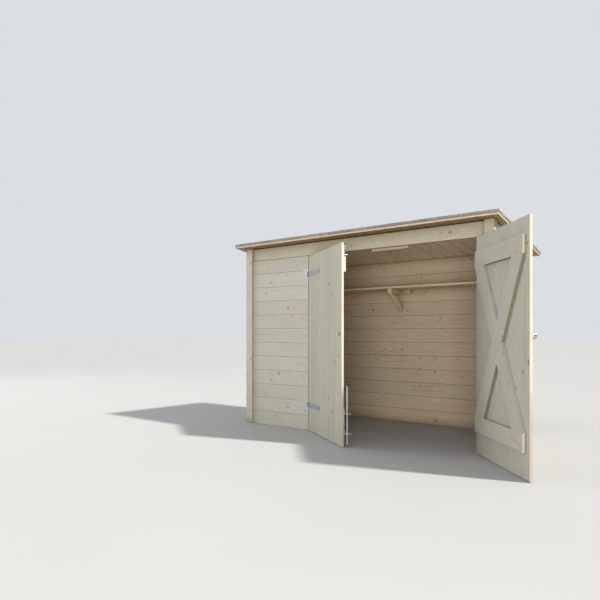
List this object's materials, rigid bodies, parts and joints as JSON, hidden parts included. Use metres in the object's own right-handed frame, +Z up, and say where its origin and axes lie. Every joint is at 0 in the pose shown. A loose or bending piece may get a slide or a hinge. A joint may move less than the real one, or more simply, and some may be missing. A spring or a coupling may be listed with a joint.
{
  "type": "bike shelter",
  "caption": "Lean-to timber bicycle store with a sloping felted roof, board walls and a pair of braced outward-opening doors, shown open.",
  "frame": {"origin": "middle of the back wall's underside, on the ground, halfway through the wall's thickness and halfway along it", "axes": "+X along the front to the right as seen facing the doors, +Y from the doors towards the back wall, +Z up"},
  "size_m": [2.7216, 1.6654, 1.6506],
  "materials": {
    "wall_boards": "weathered planed softwood",
    "trim_boards": "weathered planed softwood",
    "door_boards": "weathered planed softwood",
    "door_ledges": "weathered planed softwood",
    "roof_boards": "planed softwood, sheltered",
    "inside_timber": "planed softwood, sheltered",
    "roof_felt": "grey mineral-surfaced felt, matt",
    "galvanised_steel": "dull galvanised",
    "knob_metal": "satin"
  },
  "bodies": {
    "shelter": {"front_wall_left": "wall_boards", "front_wall_right": "wall_boards", "header_board": "wall_boards", "side_wall_left": "wall_boards", "side_wall_right": "wall_boards", "back_wall": "wall_boards", "front_trim_left": "trim_boards", "front_trim_right": "trim_boards", "front_side_trim_left": "trim_boards", "front_side_trim_right": "trim_boards", "back_trim_left": "trim_boards", "back_trim_right": "trim_boards", "back_side_trim_left": "trim_boards", "back_side_trim_right": "trim_boards", "roof_deck": "roof_boards", "roof_edge_battens": "roof_boards", "roof_felt": "roof_felt", "shelf_board": "inside_timber", "shelf_end_cleats": "inside_timber", "shelf_wall_cleat": "inside_timber", "shelf_arm": "inside_timber", "shelf_brace": "inside_timber", "stop_batten": "inside_timber", "left_hinge_plates": "galvanised_steel", "right_hinge_plates": "galvanised_steel"},
    "left_door": {"left_door_boards": "door_boards", "left_door_ledges": "door_ledges", "left_door_long_brace": "door_ledges", "left_door_short_braces": "door_ledges", "left_door_foot_block": "door_ledges", "left_door_knob": "knob_metal", "left_hinge_straps": "galvanised_steel", "head_bolt_plate": "galvanised_steel", "drop_bolt_guides": "galvanised_steel"},
    "right_door": {"right_door_boards": "door_boards", "right_door_ledges": "door_ledges", "right_door_long_brace": "door_ledges", "right_door_short_braces": "door_ledges", "right_door_knob": "knob_metal", "right_hinge_straps": "galvanised_steel"},
    "head_bolt": {"head_bolt_rod": "galvanised_steel"},
    "drop_bolt": {"drop_bolt_rod": "galvanised_steel"}
  },
  "joints": [
    {"name": "left_door_hinge", "type": "hinge", "parent": "shelter", "child": "left_door", "pos_m": [-0.4305, -0.9105, 0.7735], "axis": [0, 0, -1], "range_deg": [-34.55, 135.2]},
    {"name": "right_door_hinge", "type": "hinge", "parent": "shelter", "child": "right_door", "pos_m": [1.0265, -0.9105, 0.7735], "axis": [0, 0, 1], "range_deg": [-130.75, 24]},
    {"name": "head_bolt_slide", "type": "slide", "parent": "left_door", "child": "head_bolt", "axis": [0, 0, 1], "range_m": [0, 0.036]},
    {"name": "drop_bolt_slide", "type": "slide", "parent": "left_door", "child": "drop_bolt", "axis": [0, 0, 1], "range_m": [0, 0.06]}
  ]
}
